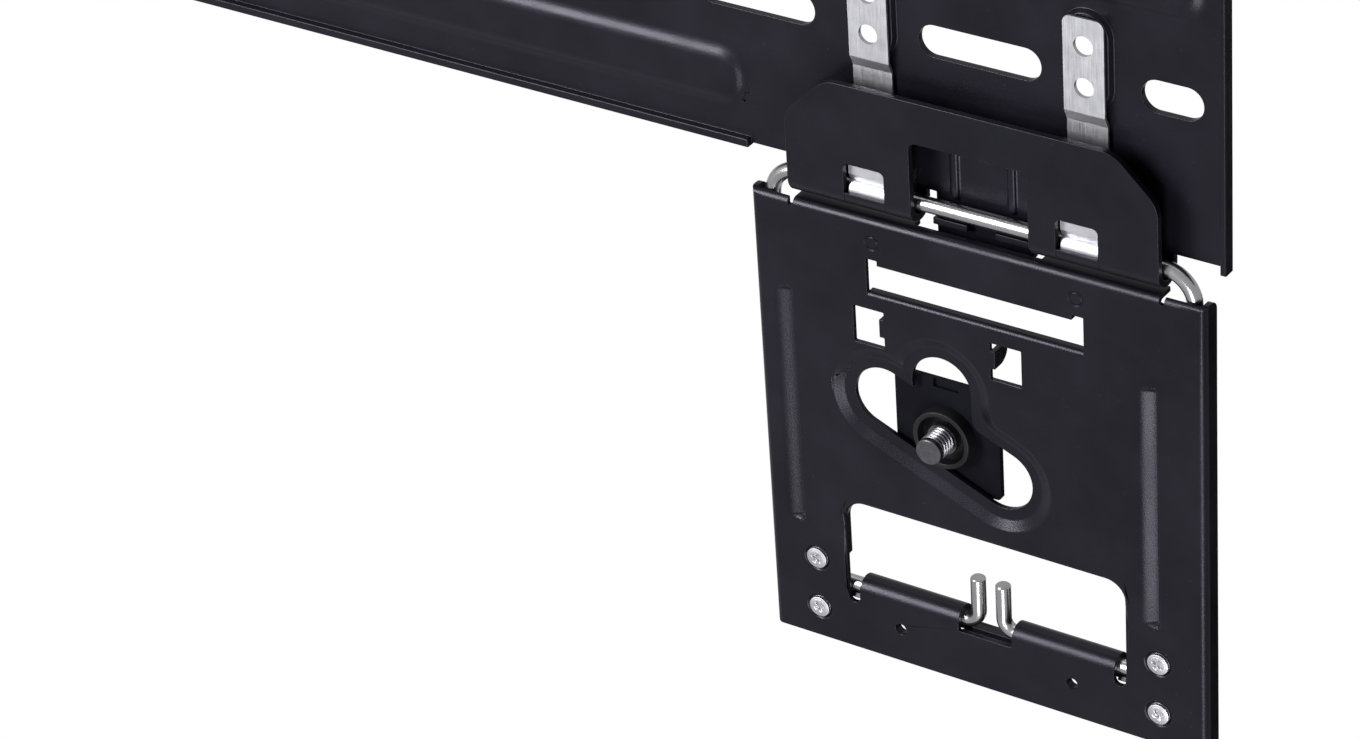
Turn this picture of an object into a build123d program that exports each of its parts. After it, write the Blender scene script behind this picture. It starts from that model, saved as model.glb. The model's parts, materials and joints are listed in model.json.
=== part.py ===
"""Slim television wall bracket: one wall plate with two hanging brackets.

Millimetres, +Z up, front faces -Y. The origin lies on the wall face, midway
between the brackets, on the centreline of the wall slots.
"""
import math
import os
from build123d import *

os.makedirs("parts", exist_ok=True)

# Layout
bracket_pitch = 624.0
stand_off = 9.45
datum_drop = 114.85

# Stock and fits
wall_t = 2.0
tv_t = 1.5
strap_t = 1.2
wire_d = 4.4
running_gap = 0.06
moving_gap = 0.3

# Wall plate
end_reach = 72.7
wall_top = 53.0
wall_bottom = -45.15
lip_depth = 3.95
lip_t = 1.8
side_lip_drop = 1.6
bottom_lip_drop = 0.8
bottom_lip_gap = 73.2
slot_h = 9.4
long_slot = 36.8
short_slot = 17.9
short_slot_x = 56.65
inner_slot_x = -68.8
press_h = 1.4
rib_slope = 3.2
rib_r = 8.2
low_rib_gap = 73.8
low_rib_z = -26.1
low_rib_h = 17.8
high_rib_inset = 6.7
high_rib_z = 32.1
high_rib_h = 18.0
pad_w = 15.0
pad_low = -8.4
pad_high = 20.6
pad_slope = 0.9
bead_x = 8.7
bead_z = -32.6
bead_w = 3.0
bead_long = 27.0
bead_h = 0.8

# Folded flap round the wire
flap_half = 56.6
flap_top = -14.75
flap_shoulder = -27.25
flap_top_half = 43.5
hem_r = 5.13
hem_z = -47.85
mouth_half = 17.9
mouth_top = -27.15
window_top = -38.65
tongue_half = 14.8
tongue_low = -58.0
tongue_lip = 2.2
tongue_lip_x = 9.6
tongue_lip_w = 10.4
tongue_lip_low = -53.9

# Straps
strap_x = 32.4
strap_w = 12.0
strap_top = 18.85
strap_joggle = 3.0
strap_hole_z = (10.85, -1.15)
strap_hole_r = 2.9
sight_hole_r = 5.1
leaf_gap = 0.3
leaf_top = -36.4
leaf_pinch = 1.8

# Wire frame, above the datum of the hanging plate
wire_half = 64.6
wire_top = 67.3
wire_low = -63.4
wire_top_bend = 9.0
wire_low_bend = 6.0
prong_x = 4.0
prong_bend = 4.0
prong_top = -48.5

# Hanging plate, depth measured back from its front face
tv_half = 69.6
tv_top = 60.5
tv_low = -82.4
tv_depth = 6.5
tv_bend = 2.2
top_lip_gap = 5.6
top_lip_dip = 39.0
lip_notch = 1.4
stud_x = -12.0
stud_z = -4.0
lobe_r = 9.2
lobe_reach = 20.0
lobe_angle = -22.7
rise_reach = 16.3
dish_land = 3.2
dish_slope = 3.4
dish_depth = 1.6
knuckle_in = 8.5
knuckle_out = 40.8
slot_half = 33.4
slot_low = 37.4
slot_high = 46.3
slot_ear_x = 31.7
slot_ear_w = 3.4
window_half = 44.3
window_high = -33.4
window_low = -67.0
window_r = 6.0
drawn_depth = 3.0
trough_z = -65.8
tab_reach = 16.6
tab_low = 24.0
tab_h = 5.6
tab_depth = 7.0
small_window_low = 20.6
small_window_h = 11.4
small_window_w = 8.1
tap_x = 27.5
tap_z = -71.5
tap_r = 1.7
groove_x = (-58.7, 54.3)
groove_low = -44.5
groove_long = 76.5
groove_half = 5.7
groove_depth = 1.85
mark_x = 31.3
mark_z = 53.1
screw_x = 54.5
screw_r = 1.9
screw_z = (-55.8, -72.4)
screw_head_r = 3.2
screw_head_h = 1.3
screw_seat = 0.7
screw_seat_r = 4.2
clip_gap = 10.7
clip_w = 7.0
clip_margin = 5.0

# Slider
slider_half = 16.3
slider_high = 16.8
slider_front = 4.0
slider_t = 1.8
guide_r = 8.85
guide_bore = 7.3
guide_floor = 0.8
stud_r = 4.0
stud_neck_r = 4.6
stud_head_r = 6.5
stud_head_h = 1.2
stud_proud = 6.6

bore_r = wire_d / 2 + running_gap
hinge_y = -wall_t - strap_t - bore_r
hinge_z = wire_top - datum_drop
strap_r = bore_r + strap_t
hem_y = -wall_t - (hem_r - wall_t)
axis_depth = hinge_y + stand_off
wall_half = bracket_pitch / 2 + end_reach
low_rib_half = bracket_pitch / 2 - low_rib_gap
high_rib_half = wall_half - high_rib_inset
bottom_lip_half = bracket_pitch / 2 - bottom_lip_gap
top_lip_half = wire_half - wire_d / 2 - top_lip_gap
clip_x = wire_half - clip_gap
clip_r = wire_d / 2 + moving_gap
window_w = strap_w + 2 * moving_gap
sides = {"right": 1, "left": -1}


def rounded_press(width, height, radius, low, high, slope):
    """Return a low raised field between two depths in front of the wall."""
    with BuildPart() as press:
        with BuildSketch(Plane.XZ.offset(low)):
            RectangleRounded(width, height, radius)
        with BuildSketch(Plane.XZ.offset(high)):
            RectangleRounded(width - 2 * slope, height - 2 * slope, radius - slope)
        loft()
    return press.part


# Wall plate: flat sheet with lips, ribs, pads, slots and the folded flap
wall_height = wall_top - wall_bottom
wall_mid = (wall_top + wall_bottom) / 2

low_rib = rounded_press(2 * low_rib_half, low_rib_h, rib_r, wall_t - 0.01, wall_t + press_h, rib_slope)
low_rib_back = rounded_press(2 * low_rib_half, low_rib_h, rib_r, -0.01, press_h, rib_slope)
high_rib = rounded_press(2 * high_rib_half, high_rib_h, rib_r, wall_t - 0.01, wall_t + press_h, rib_slope)
high_rib_back = rounded_press(2 * high_rib_half, high_rib_h, rib_r, -0.01, press_h, rib_slope)
pad_h = pad_high - pad_low
pad_r = pad_w / 2 - 0.1
pad = rounded_press(pad_w, pad_h, pad_r, wall_t - 0.01, wall_t + press_h, pad_slope)
pad_back = rounded_press(pad_w, pad_h, pad_r, -0.01, press_h, pad_slope)
bead_r = bead_w / 2 - 0.05
bead = rounded_press(bead_w, bead_long, bead_r, wall_t - 0.01, wall_t + bead_h, bead_r / 2)
bead_back = rounded_press(bead_w, bead_long, bead_r, -0.01, bead_h, bead_r / 2)

with BuildPart() as wall_plate:
    with BuildSketch(Plane.XZ) as blank:
        with Locations((0, wall_mid)):
            RectangleRounded(2 * wall_half, wall_height, 3)
    extrude(amount=wall_t)
    with BuildSketch(Plane.XZ) as lips:
        with Locations((0, wall_mid)):
            RectangleRounded(2 * wall_half, wall_height, 3)
            RectangleRounded(2 * (wall_half - lip_t), wall_height - 2 * lip_t, 1.2, mode=Mode.SUBTRACT)
        with Locations((0, wall_bottom)):
            Rectangle(2 * wall_half, 4 * lip_t, mode=Mode.SUBTRACT)
        with Locations((0, wall_bottom - bottom_lip_drop)):
            Rectangle(2 * bottom_lip_half, lip_t + bottom_lip_drop, align=(Align.CENTER, Align.MIN))
        for s in (-1, 1):
            with Locations((s * (wall_half - lip_t / 2), wall_bottom - side_lip_drop)):
                Rectangle(lip_t, wall_height / 2, align=(Align.CENTER, Align.MIN))
    extrude(amount=lip_depth)
    lip_edges = wall_plate.edges().filter_by(GeomType.LINE).filter_by_position(
        Axis.Y, -lip_depth - 0.01, -lip_depth + 0.01)
    fillet(lip_edges, radius=0.5)

    for side in sides.values():
        x0 = side * bracket_pitch / 2
        with BuildSketch(Plane.XZ):
            with Locations((x0, hem_z)):
                Rectangle(2 * flap_half, wall_bottom - hem_z + 2, align=(Align.CENTER, Align.MIN))
        extrude(amount=wall_t)
        with BuildSketch(Plane.YZ.offset(x0)) as hem:
            with Locations((hem_y, hem_z)):
                Circle(hem_r)
                Circle(hem_r - wall_t, mode=Mode.SUBTRACT)
                Rectangle(2 * hem_r, hem_r, align=(Align.CENTER, Align.MIN), mode=Mode.SUBTRACT)
        extrude(amount=flap_half, both=True)
        with BuildSketch(Plane.XZ.offset(2 * hem_r - wall_t)) as flap:
            with Locations((x0, 0)):
                Polygon(
                    (-flap_half, hem_z),
                    (flap_half, hem_z),
                    (flap_half, flap_shoulder),
                    (flap_top_half, flap_top),
                    (-flap_top_half, flap_top),
                    (-flap_half, flap_shoulder),
                    align=None,
                )
            fillet(flap.vertices().group_by(Axis.Y)[1:], radius=9)
        extrude(amount=wall_t)

        front_room = 2 * hem_r + 1
        with BuildSketch(Plane.XZ.offset(-hem_y)) as mouth:
            with Locations((x0, mouth_top)):
                Rectangle(2 * mouth_half, 30, align=(Align.CENTER, Align.MAX))
            for s in (-1, 1):
                with Locations((x0 + s * strap_x, window_top)):
                    Rectangle(window_w, 20, align=(Align.CENTER, Align.MAX))
            fillet(mouth.vertices().group_by(Axis.Y)[-1], radius=2.4)
            fillet(mouth.vertices().group_by(Axis.Y)[-3], radius=1.6)
        extrude(amount=front_room, mode=Mode.SUBTRACT)
        with BuildSketch(Plane.XZ.offset(-0.1)) as back_mouth:
            with Locations((x0, wall_bottom)):
                Rectangle(2 * mouth_half, 12, align=(Align.CENTER, Align.MAX))
            for s in (-1, 1):
                with Locations((x0 + s * strap_x, hem_z)):
                    Rectangle(window_w, 12, align=(Align.CENTER, Align.MAX))
        extrude(amount=0.1 - hem_y, mode=Mode.SUBTRACT)

        with BuildSketch(Plane.XZ):
            with Locations((x0, tongue_low)):
                Rectangle(2 * tongue_half, wall_bottom - tongue_low + 2, align=(Align.CENTER, Align.MIN))
        extrude(amount=wall_t)
        with BuildSketch(Plane.XZ):
            for s in (-1, 1):
                with Locations((x0 + s * tongue_lip_x, tongue_lip_low)):
                    Rectangle(tongue_lip_w, wall_t, align=(Align.CENTER, Align.MIN))
        extrude(amount=wall_t + tongue_lip)

        for s in (-1, 1):
            with Locations((x0 + s * strap_x, 0, (pad_high + pad_low) / 2)):
                add(pad)
                add(pad_back, mode=Mode.SUBTRACT)
            with Locations((x0 + s * bead_x, 0, bead_z)):
                add(bead)
                add(bead_back, mode=Mode.SUBTRACT)
        with BuildSketch(Plane.XZ.offset(-0.1)) as openings:
            with Locations((x0, 0)):
                SlotOverall(long_slot, slot_h)
            with Locations((x0 + side * short_slot_x, 0)):
                SlotOverall(short_slot, slot_h)
            with Locations((x0 + side * inner_slot_x, 0)):
                SlotOverall(long_slot, slot_h)
            for s in (-1, 1):
                with Locations(*[(x0 + s * strap_x, z) for z in strap_hole_z]):
                    Circle(sight_hole_r)
        extrude(amount=8, mode=Mode.SUBTRACT)

    with Locations((0, 0, low_rib_z)):
        add(low_rib)
        add(low_rib_back, mode=Mode.SUBTRACT)
    with Locations((0, 0, high_rib_z)):
        add(high_rib)
        add(high_rib_back, mode=Mode.SUBTRACT)
wall_plate.part.label = "wall_plate"
export_step(wall_plate.part, "parts/wall_plate.step")


# Strap: one folded zinc strip, welded to its pad, curled round the wire and ending in a leaf
flap_back = 2 * hem_r - wall_t
leaf_front = flap_back - leaf_gap
pinch_front = -hinge_y + strap_r - leaf_pinch
pinch_z = hinge_z + math.sqrt(strap_r**2 - (strap_r - leaf_pinch)**2)
pad_front = wall_t + press_h
with BuildPart() as strap:
    with BuildSketch(Plane.YZ) as strip:
        with Locations((hinge_y, hinge_z)):
            Circle(strap_r)
            Circle(bore_r, mode=Mode.SUBTRACT)
        with Locations((-pinch_front + strap_t - 0.1, hinge_z)):
            Rectangle(2 * strap_r, 2 * strap_r, align=(Align.MIN, Align.MIN), mode=Mode.SUBTRACT)
        Polygon(
            (-pinch_front, pinch_z),
            (-leaf_front, pinch_z + leaf_pinch),
            (-leaf_front, leaf_top),
            (-leaf_front + strap_t, leaf_top),
            (-leaf_front + strap_t, pinch_z + leaf_pinch - 0.4),
            (-pinch_front + strap_t, pinch_z - 0.1),
            (-pinch_front + strap_t - 0.1, pinch_z - 0.9),
            align=None,
        )
        Polygon(
            (-wall_t, hinge_z),
            (-wall_t, pad_low - strap_joggle - 0.1),
            (-pad_front, pad_low - 0.1),
            (-pad_front, strap_top),
            (-pad_front - strap_t, strap_top),
            (-pad_front - strap_t, pad_low - 0.4),
            (-wall_t - strap_t, pad_low - strap_joggle - 0.4),
            (-wall_t - strap_t, hinge_z),
            align=None,
        )
        bends = [v for v in strip.vertices() if pad_low - strap_joggle - 0.5 < v.Y < pad_low]
        fillet(bends, radius=1.0)
    extrude(amount=strap_w / 2, both=True)
    fillet(strap.edges().filter_by(Axis.Y).group_by(Axis.Z)[-1], radius=2.2)
    with BuildSketch(Plane.XZ.offset(pad_front - 1)):
        with Locations(*[(0, z) for z in strap_hole_z]):
            Circle(strap_hole_r)
    extrude(amount=4, mode=Mode.SUBTRACT)
    rims = strap.edges().filter_by(GeomType.CIRCLE).group_by(Axis.Y)[0]
    chamfer(rims, length=0.5)

for name, side in sides.items():
    for where, s in {"inner": -1, "outer": 1}.items():
        x = side * (bracket_pitch / 2 + s * strap_x)
        placed = strap.part.moved(Location((x, 0, 0)))
        placed.label = f"{name}_{where}_strap"
        export_step(placed, f"parts/{name}_{where}_strap.step")


# Wire frame: one bent wire, its two ends turned up side by side
corners = [
    ((-prong_x, prong_top), 0),
    ((-prong_x, wire_low), prong_bend),
    ((-wire_half, wire_low), wire_low_bend),
    ((-wire_half, wire_top), wire_top_bend),
    ((wire_half, wire_top), wire_top_bend),
    ((wire_half, wire_low), wire_low_bend),
    ((prong_x, wire_low), prong_bend),
    ((prong_x, prong_top), 0),
]
with BuildPart() as wire_frame:
    with BuildLine() as bent:
        points = [Vector(x, axis_depth, z) for (x, z), _ in corners]
        last = points[0]
        for i in range(1, len(points) - 1):
            bend = corners[i][1]
            arrive = (points[i] - last).normalized()
            leave = (points[i + 1] - points[i]).normalized()
            bend_start = points[i] - arrive * bend
            bend_end = points[i] + leave * bend
            centre = bend_start + leave * bend
            outward = (points[i] - centre).normalized()
            Line(last, bend_start)
            ThreePointArc(bend_start, centre + outward * bend, bend_end)
            last = bend_end
        Line(last, points[-1])
    with BuildSketch(Plane(points[0], z_dir=(0, 0, -1))):
        Circle(wire_d / 2)
    sweep(path=bent.wire())
    wire_ends = wire_frame.edges().filter_by(GeomType.CIRCLE).filter_by_position(
        Axis.Z, prong_top - 0.01, prong_top + 0.01)
    chamfer(wire_ends, length=0.3)


def lobe_outline(radius, neck, cusp):
    """Return the outline of the three-lobed slot for one lobe radius."""
    with BuildSketch(Plane.XZ) as outline:
        with Locations((stud_x, stud_z)):
            SlotCenterToCenter(2 * lobe_reach, 2 * radius, rotation=lobe_angle)
        with Locations((stud_x, stud_z + rise_reach / 2)):
            SlotCenterToCenter(rise_reach, 2 * radius, rotation=90)
        upper = [v for v in outline.vertices() if v.Y > stud_z]
        right_side = [v for v in upper if abs(v.X - stud_x - radius) < 0.01]
        left_side = [v for v in upper if v.X < stud_x - 1]
        fillet(min(right_side, key=lambda v: v.Y), radius=neck)
        fillet(min(left_side, key=lambda v: (-round(v.X, 1), v.Y)), radius=cusp)
    return outline.sketch


# Inside of the tray, cut away from the hanging plate
with BuildPart() as cavity:
    with Locations((0, tv_t, tv_low - 5)):
        Box(2 * (tv_half - tv_t), 12, tv_top - tv_t - tv_low + 5, align=(Align.CENTER, Align.MIN, Align.MIN))
    front_rim = cavity.faces().sort_by(Axis.Y)[0].edges()
    fillet(front_rim.sort_by(Axis.Z)[1:], radius=tv_bend - tv_t)

with BuildPart() as tv_plate:
    with Locations((0, 0, tv_low)):
        Box(2 * tv_half, tv_depth, tv_top - tv_low, align=(Align.CENTER, Align.MIN, Align.MIN))
    front_rim = tv_plate.faces().sort_by(Axis.Y)[0].edges()
    fillet(front_rim.sort_by(Axis.Z)[1:], radius=tv_bend)
    add(cavity.part, mode=Mode.SUBTRACT)

    # Top lip stops short of the corners, with relief notches, and is shallower midway
    for s in (-1, 1):
        with Locations((s * (top_lip_half + tv_half - tv_t) / 2, tv_t, tv_top - tv_t - 0.9)):
            Box(tv_half - tv_t - top_lip_half, 10, 10,
                align=(Align.CENTER, Align.MIN, Align.MIN), mode=Mode.SUBTRACT)
        with Locations((s * top_lip_half, 0, tv_top - tv_bend)):
            Box(lip_notch, 20, 10, align=(Align.CENTER, Align.CENTER, Align.MIN), mode=Mode.SUBTRACT)
    with Locations((0, 3.4, tv_top - tv_t - 0.9)):
        Box(top_lip_dip, 10, 10, align=(Align.CENTER, Align.MIN, Align.MIN), mode=Mode.SUBTRACT)
    flange_tops = tv_plate.edges().filter_by(Axis.X).filter_by_position(
        Axis.Y, tv_depth - 0.01, tv_depth + 0.01).filter_by_position(Axis.Z, tv_top - 0.1, tv_top + 0.1)
    side_tops = [e for e in flange_tops if abs(e.center().X) > tv_half - tv_t]
    fillet(side_tops, radius=3)

    # Dished land round the three-lobed slot
    rim = lobe_outline(lobe_r + dish_land + dish_slope, 5, 3)
    slope_angle = math.degrees(math.atan2(dish_slope, dish_depth))
    extrude(rim.moved(Location((0, tv_t - 0.01, 0))), amount=-dish_depth, taper=slope_angle)
    extrude(rim, amount=-dish_depth, taper=slope_angle, mode=Mode.SUBTRACT)

    # Drawn edges behind the openings
    with Locations((0, 0, slot_low)):
        Box(2 * slot_half, drawn_depth, tv_t, align=(Align.CENTER, Align.MIN, Align.MAX))
    with Locations((0, 0, slot_high)):
        Box(2 * slot_ear_x - slot_ear_w, drawn_depth + tv_t, tv_t, align=(Align.CENTER, Align.MIN, Align.MIN))
    with BuildSketch(Plane.XZ) as collar:
        with Locations((0, window_high + tv_t)):
            Rectangle(2 * (window_half + tv_t), 20, align=(Align.CENTER, Align.MAX))
        fillet(collar.vertices().group_by(Axis.Y)[-1], radius=window_r + tv_t)
    extrude(amount=-drawn_depth)
    with BuildSketch(Plane.XZ) as tabs:
        with Locations((stud_x - tab_reach, tab_low)):
            Rectangle(tv_t, tab_h, align=(Align.MAX, Align.MIN))
        with Locations((stud_x + tab_reach, tab_low)):
            Rectangle(tv_t, tab_h, align=(Align.MIN, Align.MIN))
    extrude(amount=-tab_depth)
    tab_ends = tv_plate.edges().filter_by(Axis.X).filter_by_position(
        Axis.Y, tab_depth - 0.01, tab_depth + 0.01)
    fillet(tab_ends.group_by(Axis.Z)[0], radius=4)
    fillet(tab_ends.group_by(Axis.Z)[-1], radius=1)
    for s in (-1, 1):
        with Locations((s * tap_x, 0, tap_z)):
            Cylinder(2.7, 2.9, rotation=(90, 0, 0), align=(Align.CENTER, Align.CENTER, Align.MAX))

    # Pressed grooves beside the slot
    for x in groove_x:
        for front, mode in ((tv_t - 0.01, Mode.ADD), (-0.01, Mode.SUBTRACT)):
            with BuildSketch(Plane.XY.offset(groove_low)):
                with Locations((x, 0)):
                    Polygon(
                        (-groove_half, front),
                        (0, front + groove_depth),
                        (groove_half, front),
                        align=None,
                    )
            extrude(amount=groove_long, mode=mode)
    shoulders = [e for e in tv_plate.edges().filter_by(Axis.Z).filter_by_position(Axis.Y, -0.01, 0.01)
                 if min(abs(abs(e.center().X - x) - groove_half) for x in groove_x) < 0.1]
    fillet(shoulders, radius=6)

    # Openings
    with BuildSketch(Plane.XZ) as openings:
        with Locations((0, slot_low)):
            Rectangle(2 * slot_half, slot_high - slot_low, align=(Align.CENTER, Align.MIN))
        for s in (-1, 1):
            with Locations((s * slot_ear_x, slot_high)):
                Rectangle(slot_ear_w, 3.0)
            with Locations((s * tap_x, tap_z)):
                Circle(tap_r)
            with Locations(*[(s * screw_x, z) for z in screw_z]):
                Circle(screw_r + 0.2)
        Polygon(
            (-window_half, window_high),
            (window_half, window_high),
            (window_half, window_low),
            (knuckle_out, window_low),
            (knuckle_out, wire_low),
            (knuckle_in, wire_low),
            (knuckle_in, trough_z),
            (-knuckle_in, trough_z),
            (-knuckle_in, wire_low),
            (-knuckle_out, wire_low),
            (-knuckle_out, window_low),
            (-window_half, window_low),
            align=None,
        )
        for level, corner_r in ((trough_z, 1.8), (window_low, 1.6), (window_high, window_r)):
            fillet([v for v in openings.vertices() if abs(v.Y - level) < 0.01], radius=corner_r)
    extrude(amount=-(drawn_depth + 0.3), mode=Mode.SUBTRACT)
    with BuildSketch(Plane.XZ) as small_windows:
        with Locations((stud_x - tab_reach - tv_t, small_window_low)):
            Rectangle(small_window_w, small_window_h, align=(Align.MAX, Align.MIN))
        with Locations((stud_x + tab_reach + tv_t, small_window_low)):
            Rectangle(small_window_w, small_window_h, align=(Align.MIN, Align.MIN))
        small_window_top = small_window_low + small_window_h
        for s in (-1, 1):
            with Locations((stud_x + s * (tab_reach + tv_t / 2), small_window_low)):
                Rectangle(tv_t, tab_low - small_window_low, align=(Align.CENTER, Align.MIN))
            with Locations((stud_x + s * (tab_reach + tv_t / 2), small_window_top)):
                Rectangle(tv_t, small_window_top - tab_low - tab_h, align=(Align.CENTER, Align.MAX))
    extrude(amount=-tv_t, mode=Mode.SUBTRACT)
    extrude(lobe_outline(lobe_r, 3.5, 0.4), amount=-6, mode=Mode.SUBTRACT)

    # Roll from the lower edge of the window round the wire, cut open between the knuckles
    with BuildSketch(Plane.YZ) as roll:
        with Locations((axis_depth, wire_low)):
            Circle(axis_depth)
    extrude(amount=knuckle_out, both=True)
    with BuildSketch(Plane.YZ) as bore:
        with Locations((axis_depth, wire_low)):
            Circle(bore_r)
        with Locations((tv_t, wire_low - 1.0)):
            Rectangle(2.2, 6, align=(Align.MIN, Align.MAX))
    extrude(amount=knuckle_out, both=True, mode=Mode.SUBTRACT)
    with Locations((0, 0, trough_z)):
        Box(2 * knuckle_in, 20, 8, align=(Align.CENTER, Align.CENTER, Align.MIN), mode=Mode.SUBTRACT)

    # Coined seats for the screw heads
    for s in (-1, 1):
        for z in screw_z:
            with Locations((s * screw_x, 0, z)):
                Cone(screw_seat_r, screw_seat_r - screw_seat, screw_seat, rotation=(-90, 0, 0),
                     align=(Align.CENTER, Align.CENTER, Align.MIN), mode=Mode.SUBTRACT)
    with BuildSketch(Plane.XZ) as marks:
        with Locations((-mark_x, mark_z), (mark_x, mark_z)):
            Circle(2.2)
            Circle(1.7, mode=Mode.SUBTRACT)
    extrude(amount=-0.2, mode=Mode.SUBTRACT)


# Clips that hold the wire to the lower corners of the hanging plate
clip_long = max(screw_z) - min(screw_z) + 2 * clip_margin


def clip_at(x):
    """Return one clip centred on the given distance from the middle."""
    with BuildPart() as clip:
        with BuildSketch(Plane.YZ.offset(x)):
            with Locations((axis_depth, wire_low)):
                Circle(clip_r + tv_t)
                Rectangle(axis_depth - tv_t, 2 * (clip_r + tv_t), align=(Align.MAX, Align.CENTER))
            with Locations((tv_t, max(screw_z) + clip_margin)):
                Rectangle(tv_t, clip_long, align=(Align.MIN, Align.MAX))
            with Locations((axis_depth, wire_low)):
                Circle(clip_r, mode=Mode.SUBTRACT)
                Rectangle(axis_depth, 2 * clip_r, align=(Align.MAX, Align.CENTER), mode=Mode.SUBTRACT)
            with Locations((tv_t, wire_low)):
                Rectangle(6, 40, align=(Align.MAX, Align.CENTER), mode=Mode.SUBTRACT)
        extrude(amount=clip_w / 2, both=True)
        fillet(clip.edges().filter_by(Axis.Y).group_by(Axis.Z)[0], radius=2)
        fillet(clip.edges().filter_by(Axis.Y).group_by(Axis.Z)[-1], radius=2)
        with BuildSketch(Plane.XZ):
            with Locations(*[(math.copysign(screw_x, x), z) for z in screw_z]):
                Circle(screw_r)
        extrude(amount=-8, mode=Mode.SUBTRACT)
    return clip.part


def screws_at(x):
    """Return the two pan-head screws of one clip."""
    with BuildPart() as screws:
        for z in screw_z:
            with BuildSketch(Plane.XZ.offset(-screw_seat)):
                with Locations((x, z)):
                    Circle(screw_head_r)
            extrude(amount=screw_head_h)
            with BuildSketch(Plane.XZ.offset(-screw_seat)):
                with Locations((x, z)):
                    Circle(screw_r - 0.04)
            extrude(amount=screw_seat - 4.4)
        rims = screws.edges().filter_by(GeomType.CIRCLE).group_by(Axis.Y)
        fillet(rims[0], radius=0.8)
        chamfer(rims[-1], length=0.5)
    return screws.part


# Slider: a plate behind the slot, with a guide ring and the stud for the television
with BuildPart() as slider_plate:
    with BuildSketch(Plane.XZ.offset(-slider_front)) as plate:
        with Locations((stud_x, stud_z)):
            RectangleRounded(2 * slider_half, 2 * slider_high, 1.2)
            Circle(stud_neck_r + running_gap, mode=Mode.SUBTRACT)
    extrude(amount=-slider_t)
    with BuildSketch(Plane.XZ.offset(-slider_front)):
        with Locations((stud_x, stud_z + slider_high - 1.3)):
            Rectangle(8, 2.6)
    extrude(amount=-0.8, mode=Mode.SUBTRACT)

with BuildPart() as guide_ring:
    with BuildSketch(Plane.XZ):
        with Locations((stud_x, stud_z)):
            Circle(guide_r)
            Circle(stud_neck_r + running_gap, mode=Mode.SUBTRACT)
    extrude(amount=-slider_front)
    with BuildSketch(Plane.XZ):
        with Locations((stud_x, stud_z)):
            Circle(guide_bore)
    extrude(amount=-(slider_front - guide_floor), mode=Mode.SUBTRACT)
    fillet(guide_ring.edges().filter_by(GeomType.CIRCLE).group_by(Axis.Y)[0], radius=0.4)

with BuildPart() as stud:
    with BuildSketch(Plane.XZ.offset(stud_proud)):
        with Locations((stud_x, stud_z)):
            Circle(stud_r)
    extrude(amount=-(stud_proud + slider_front))
    chamfer(stud.edges().filter_by(GeomType.CIRCLE).group_by(Axis.Y)[0], length=0.7)
    with BuildSketch(Plane.XZ.offset(-guide_floor)):
        with Locations((stud_x, stud_z)):
            Circle(stud_neck_r)
    extrude(amount=-(slider_front + slider_t - guide_floor))
    with BuildSketch(Plane.XZ.offset(-slider_front - slider_t)):
        with Locations((stud_x, stud_z)):
            Circle(stud_head_r)
    extrude(amount=-stud_head_h)

hanging = {
    "wire_frame": wire_frame.part,
    "tv_plate": tv_plate.part,
    "slider_plate": slider_plate.part,
    "guide_ring": guide_ring.part,
    "stud": stud.part,
    "inner_clip": clip_at(-clip_x),
    "outer_clip": clip_at(clip_x),
    "inner_screws": screws_at(-screw_x),
    "outer_screws": screws_at(screw_x),
}
for name, side in sides.items():
    seat = Location((side * bracket_pitch / 2, -stand_off, -datum_drop))
    for piece, body in hanging.items():
        handed = body if side > 0 else mirror(body, about=Plane.YZ)
        placed = handed.moved(seat)
        placed.label = f"{name}_{piece}"
        export_step(placed, f"parts/{name}_{piece}.step")
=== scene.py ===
import json
import logging
import math
from collections.abc import Callable
from dataclasses import dataclass, field
from enum import Enum

import bmesh
import bpy
import numpy as np
from mathutils import Matrix, Vector


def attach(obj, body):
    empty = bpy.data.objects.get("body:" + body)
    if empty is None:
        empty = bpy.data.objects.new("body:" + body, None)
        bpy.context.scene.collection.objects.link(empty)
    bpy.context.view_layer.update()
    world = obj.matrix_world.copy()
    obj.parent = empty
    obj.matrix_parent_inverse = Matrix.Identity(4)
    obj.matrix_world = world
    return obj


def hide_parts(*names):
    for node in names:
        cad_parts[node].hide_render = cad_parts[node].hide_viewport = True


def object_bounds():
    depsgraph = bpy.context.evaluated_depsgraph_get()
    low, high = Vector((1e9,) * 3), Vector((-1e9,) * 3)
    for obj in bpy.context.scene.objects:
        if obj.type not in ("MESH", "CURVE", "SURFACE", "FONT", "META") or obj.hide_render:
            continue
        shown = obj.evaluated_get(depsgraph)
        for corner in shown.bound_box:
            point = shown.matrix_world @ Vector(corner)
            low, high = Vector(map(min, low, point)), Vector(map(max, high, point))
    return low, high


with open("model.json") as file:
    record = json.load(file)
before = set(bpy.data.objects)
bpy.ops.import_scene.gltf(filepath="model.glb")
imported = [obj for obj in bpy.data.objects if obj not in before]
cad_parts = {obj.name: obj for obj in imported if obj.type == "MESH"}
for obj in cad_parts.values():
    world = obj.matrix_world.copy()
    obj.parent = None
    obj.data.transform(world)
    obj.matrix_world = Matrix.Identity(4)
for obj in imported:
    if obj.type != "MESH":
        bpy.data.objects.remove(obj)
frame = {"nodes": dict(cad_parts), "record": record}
cad_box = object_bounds()
log = logging.getLogger("tv_bracket")

MM = 0.001
# Edges of sheet that bend more than this stay sharp.
SHEET_SHARP = math.radians(34.0)
# The same for the thread and for the screws' heads.
THREAD_SHARP = math.radians(42.0)
HEAD_SHARP = math.radians(50.0)
# Faces that lie this near to one plane become one face.
SAME_PLANE = math.radians(0.4)
# Fractal noise lies mostly between these values.
NOISE_LOW = 0.3
NOISE_HIGH = 0.7


class Side(Enum):
    """The two hanging brackets, by the sign of their X."""

    RIGHT = 1
    LEFT = -1

    @property
    def word(self) -> str:
        """The word that starts the names of this side's nodes."""
        return self.name.lower()


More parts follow.
